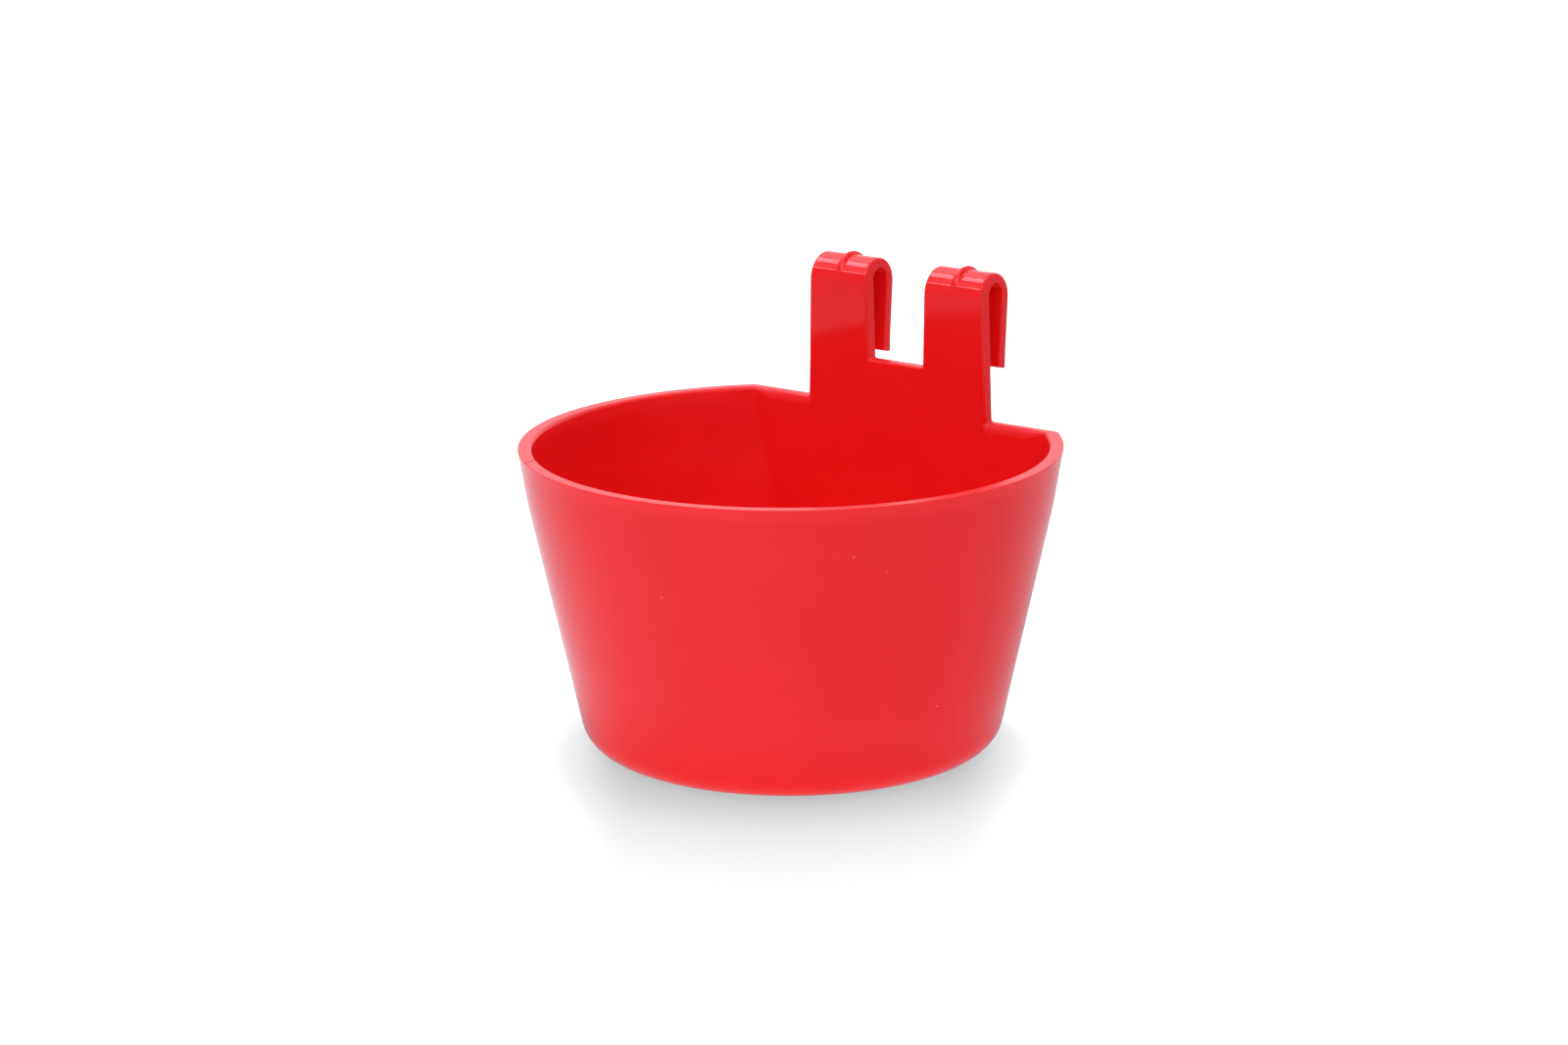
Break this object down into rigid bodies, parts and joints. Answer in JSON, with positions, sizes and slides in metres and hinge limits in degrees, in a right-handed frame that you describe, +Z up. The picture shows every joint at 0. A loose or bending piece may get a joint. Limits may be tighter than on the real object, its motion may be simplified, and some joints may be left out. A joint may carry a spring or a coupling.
{
  "type": "hook-on poultry feeder",
  "caption": "Tapered red plastic feed cup with a round front, a flat back and a raised hanger plate whose hooks go over a cage wire.",
  "frame": {"origin": "on the axis of the cup's round wall, at the flat underside", "axes": "+Z up along the cup's axis, +X to the right across the cup's full width, +Y to the flat back with the hooks"},
  "size_m": [0.1298, 0.1205, 0.1105],
  "materials": {
    "red_plastic": "glossy red polypropylene as it leaves the mould"
  },
  "bodies": {
    "root": {"cup": "red_plastic", "hanger_plate": "red_plastic", "left_hook": "red_plastic", "right_hook": "red_plastic"}
  },
  "joints": []
}
